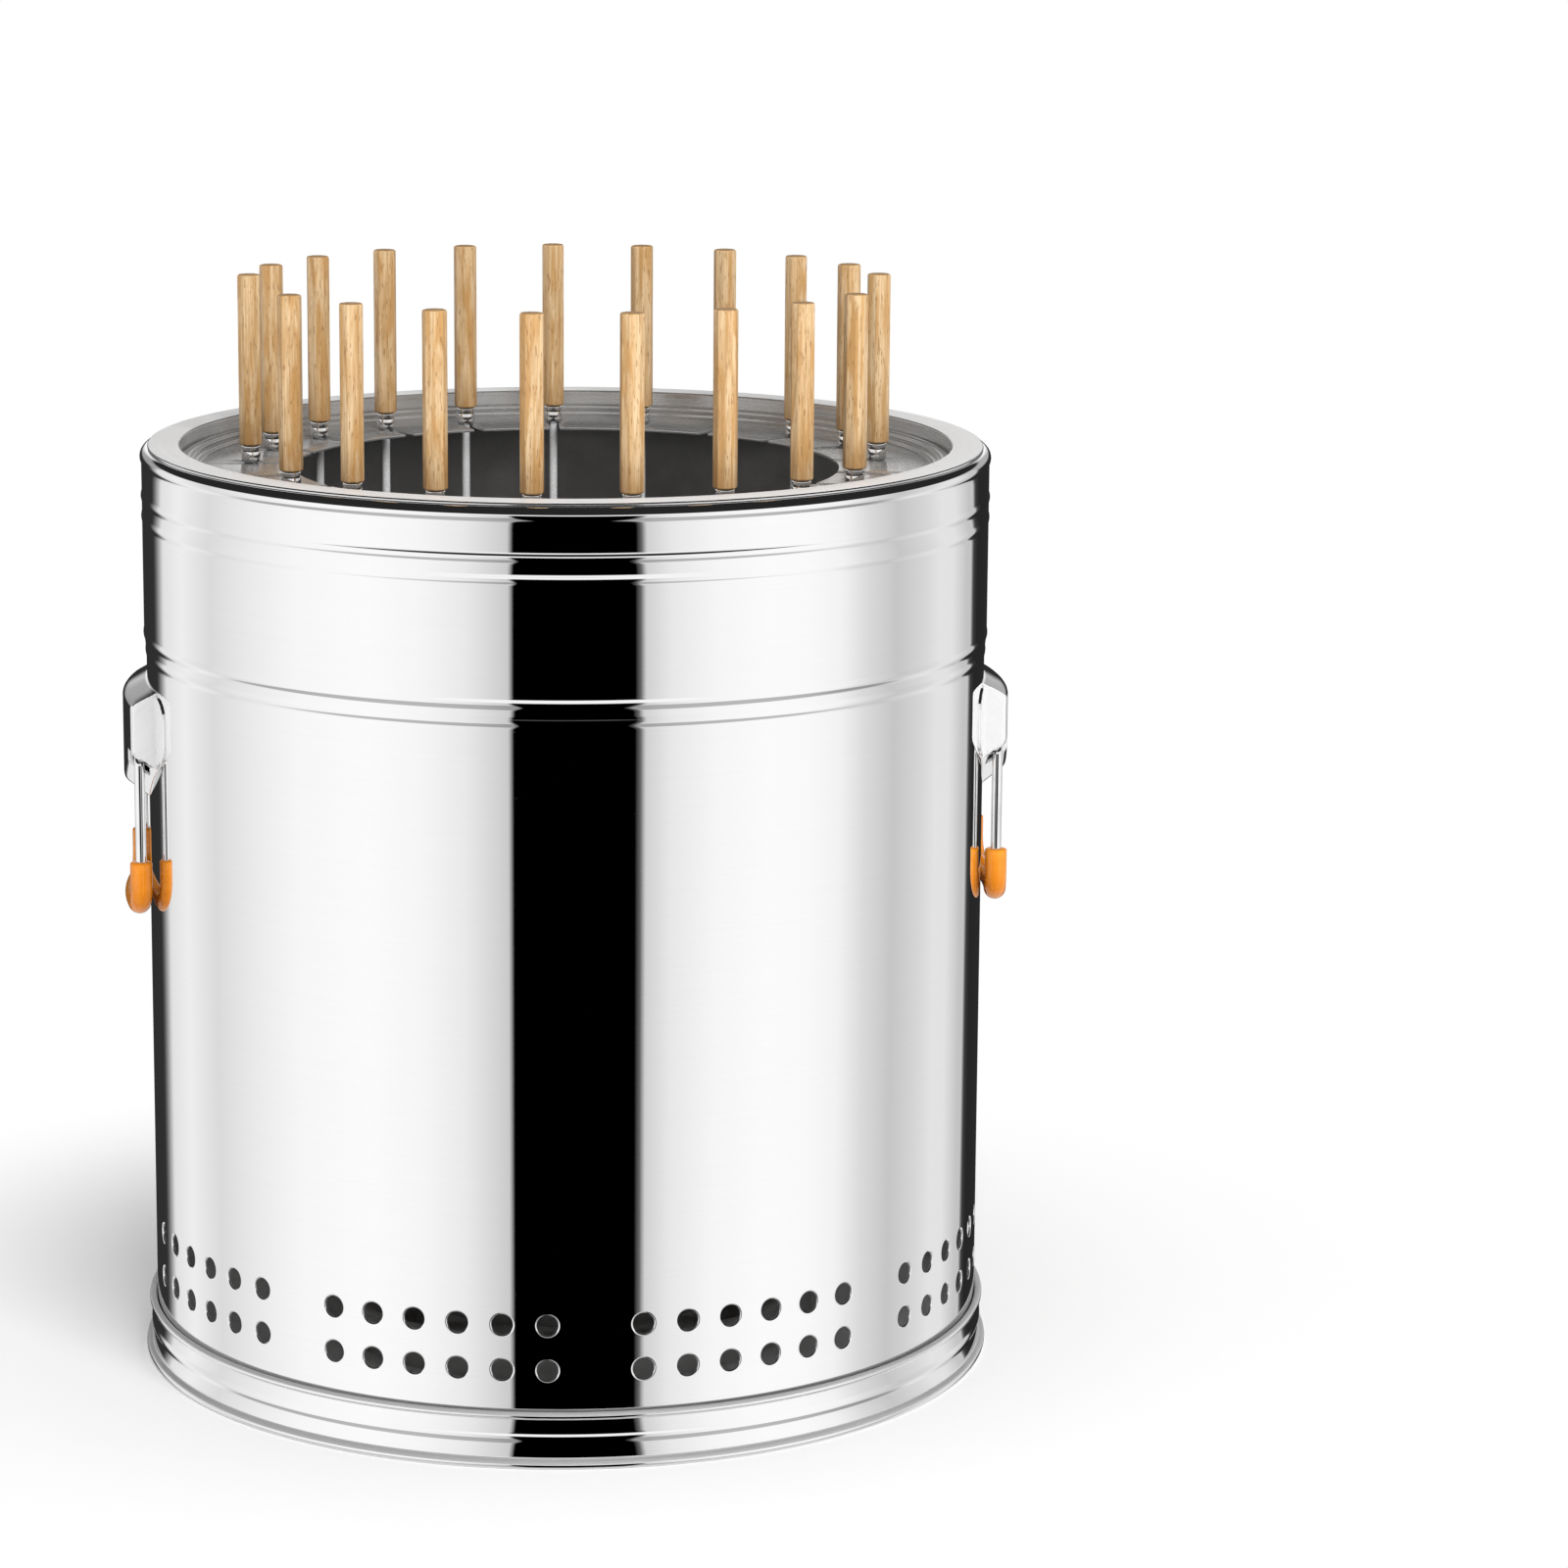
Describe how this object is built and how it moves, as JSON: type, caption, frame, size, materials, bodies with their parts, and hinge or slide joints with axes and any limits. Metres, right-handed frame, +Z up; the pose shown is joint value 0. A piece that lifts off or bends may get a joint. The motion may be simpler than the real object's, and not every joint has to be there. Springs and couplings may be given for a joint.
{
  "type": "portable charcoal grill",
  "caption": "Round steel barrel grill with air vents, wire side handles and a lift-off ring of hanging skewers around a central charcoal basket.",
  "frame": {"origin": "on the floor under the middle of the barrel", "axes": "+Z up along the barrel's axis, +X towards the right side handle, front towards -Y"},
  "size_m": [0.4242, 0.4112, 0.52],
  "materials": {
    "barrel_steel": "polished stainless sheet",
    "ring_steel": "satin stainless sheet",
    "wire_steel": "polished wire",
    "rod_steel": "polished rod and ferrule",
    "orange_sleeve": "smooth orange plastic",
    "handle_wood": "light turned hardwood, oiled",
    "pan_steel": "plain steel, heat-dulled",
    "basket_steel": "plain steel, heat-dulled"
  },
  "bodies": {
    "barrel": {"barrel_wall": "barrel_steel", "base_ring": "barrel_steel", "base_plate": "barrel_steel", "right_bracket": "barrel_steel", "left_bracket": "barrel_steel", "right_lugs": "barrel_steel", "left_lugs": "barrel_steel"},
    "right_handle": {"right_bail": "wire_steel", "right_sleeve": "orange_sleeve"},
    "left_handle": {"left_bail": "wire_steel", "left_sleeve": "orange_sleeve"},
    "skewer_ring": {"ring_collar": "ring_steel", "skewer_plate": "ring_steel"},
    "ash_pan": {"ash_pan": "pan_steel"},
    "charcoal_basket": {"basket_cage": "basket_steel", "basket_grate": "basket_steel", "basket_feet": "basket_steel", "basket_handle": "wire_steel"},
    "skewer_01": {"skewer_01_handle": "handle_wood", "skewer_01_rod": "rod_steel"},
    "skewer_02": {"skewer_02_handle": "handle_wood", "skewer_02_rod": "rod_steel"},
    "skewer_03": {"skewer_03_handle": "handle_wood", "skewer_03_rod": "rod_steel"},
    "skewer_04": {"skewer_04_handle": "handle_wood", "skewer_04_rod": "rod_steel"},
    "skewer_05": {"skewer_05_handle": "handle_wood", "skewer_05_rod": "rod_steel"},
    "skewer_06": {"skewer_06_handle": "handle_wood", "skewer_06_rod": "rod_steel"},
    "skewer_07": {"skewer_07_handle": "handle_wood", "skewer_07_rod": "rod_steel"},
    "skewer_08": {"skewer_08_handle": "handle_wood", "skewer_08_rod": "rod_steel"},
    "skewer_09": {"skewer_09_handle": "handle_wood", "skewer_09_rod": "rod_steel"},
    "skewer_10": {"skewer_10_handle": "handle_wood", "skewer_10_rod": "rod_steel"},
    "skewer_11": {"skewer_11_handle": "handle_wood", "skewer_11_rod": "rod_steel"},
    "skewer_12": {"skewer_12_handle": "handle_wood", "skewer_12_rod": "rod_steel"},
    "skewer_13": {"skewer_13_handle": "handle_wood", "skewer_13_rod": "rod_steel"},
    "skewer_14": {"skewer_14_handle": "handle_wood", "skewer_14_rod": "rod_steel"},
    "skewer_15": {"skewer_15_handle": "handle_wood", "skewer_15_rod": "rod_steel"},
    "skewer_16": {"skewer_16_handle": "handle_wood", "skewer_16_rod": "rod_steel"},
    "skewer_17": {"skewer_17_handle": "handle_wood", "skewer_17_rod": "rod_steel"},
    "skewer_18": {"skewer_18_handle": "handle_wood", "skewer_18_rod": "rod_steel"},
    "skewer_19": {"skewer_19_handle": "handle_wood", "skewer_19_rod": "rod_steel"}
  },
  "joints": [
    {"name": "right_handle_swing", "type": "hinge", "parent": "barrel", "child": "right_handle", "pos_m": [0.20368, 0, 0.299], "axis": [0, -1, 0], "range_deg": [0, 90]},
    {"name": "left_handle_swing", "type": "hinge", "parent": "barrel", "child": "left_handle", "pos_m": [-0.20368, 0, 0.299], "axis": [0, 1, 0], "range_deg": [0, 90]},
    {"name": "skewer_ring_lift", "type": "slide", "parent": "barrel", "child": "skewer_ring", "axis": [0, 0, 1], "range_m": [0, 0.39]},
    {"name": "ash_pan_lift", "type": "slide", "parent": "barrel", "child": "ash_pan", "axis": [0, 0, 1], "range_m": [0, 0.44]},
    {"name": "charcoal_basket_lift", "type": "slide", "parent": "ash_pan", "child": "charcoal_basket", "axis": [0, 0, 1], "range_m": [0, 0.44]},
    {"name": "skewer_01_lift", "type": "slide", "parent": "skewer_ring", "child": "skewer_01", "axis": [0, 0, 1], "range_m": [0, 0.38]},
    {"name": "skewer_02_lift", "type": "slide", "parent": "skewer_ring", "child": "skewer_02", "axis": [0, 0, 1], "range_m": [0, 0.38]},
    {"name": "skewer_03_lift", "type": "slide", "parent": "skewer_ring", "child": "skewer_03", "axis": [0, 0, 1], "range_m": [0, 0.38]},
    {"name": "skewer_04_lift", "type": "slide", "parent": "skewer_ring", "child": "skewer_04", "axis": [0, 0, 1], "range_m": [0, 0.38]},
    {"name": "skewer_05_lift", "type": "slide", "parent": "skewer_ring", "child": "skewer_05", "axis": [0, 0, 1], "range_m": [0, 0.38]},
    {"name": "skewer_06_lift", "type": "slide", "parent": "skewer_ring", "child": "skewer_06", "axis": [0, 0, 1], "range_m": [0, 0.38]},
    {"name": "skewer_07_lift", "type": "slide", "parent": "skewer_ring", "child": "skewer_07", "axis": [0, 0, 1], "range_m": [0, 0.38]},
    {"name": "skewer_08_lift", "type": "slide", "parent": "skewer_ring", "child": "skewer_08", "axis": [0, 0, 1], "range_m": [0, 0.38]},
    {"name": "skewer_09_lift", "type": "slide", "parent": "skewer_ring", "child": "skewer_09", "axis": [0, 0, 1], "range_m": [0, 0.38]},
    {"name": "skewer_10_lift", "type": "slide", "parent": "skewer_ring", "child": "skewer_10", "axis": [0, 0, 1], "range_m": [0, 0.38]},
    {"name": "skewer_11_lift", "type": "slide", "parent": "skewer_ring", "child": "skewer_11", "axis": [0, 0, 1], "range_m": [0, 0.38]},
    {"name": "skewer_12_lift", "type": "slide", "parent": "skewer_ring", "child": "skewer_12", "axis": [0, 0, 1], "range_m": [0, 0.38]},
    {"name": "skewer_13_lift", "type": "slide", "parent": "skewer_ring", "child": "skewer_13", "axis": [0, 0, 1], "range_m": [0, 0.38]},
    {"name": "skewer_14_lift", "type": "slide", "parent": "skewer_ring", "child": "skewer_14", "axis": [0, 0, 1], "range_m": [0, 0.38]},
    {"name": "skewer_15_lift", "type": "slide", "parent": "skewer_ring", "child": "skewer_15", "axis": [0, 0, 1], "range_m": [0, 0.38]},
    {"name": "skewer_16_lift", "type": "slide", "parent": "skewer_ring", "child": "skewer_16", "axis": [0, 0, 1], "range_m": [0, 0.38]},
    {"name": "skewer_17_lift", "type": "slide", "parent": "skewer_ring", "child": "skewer_17", "axis": [0, 0, 1], "range_m": [0, 0.38]},
    {"name": "skewer_18_lift", "type": "slide", "parent": "skewer_ring", "child": "skewer_18", "axis": [0, 0, 1], "range_m": [0, 0.38]},
    {"name": "skewer_19_lift", "type": "slide", "parent": "skewer_ring", "child": "skewer_19", "axis": [0, 0, 1], "range_m": [0, 0.38]}
  ]
}
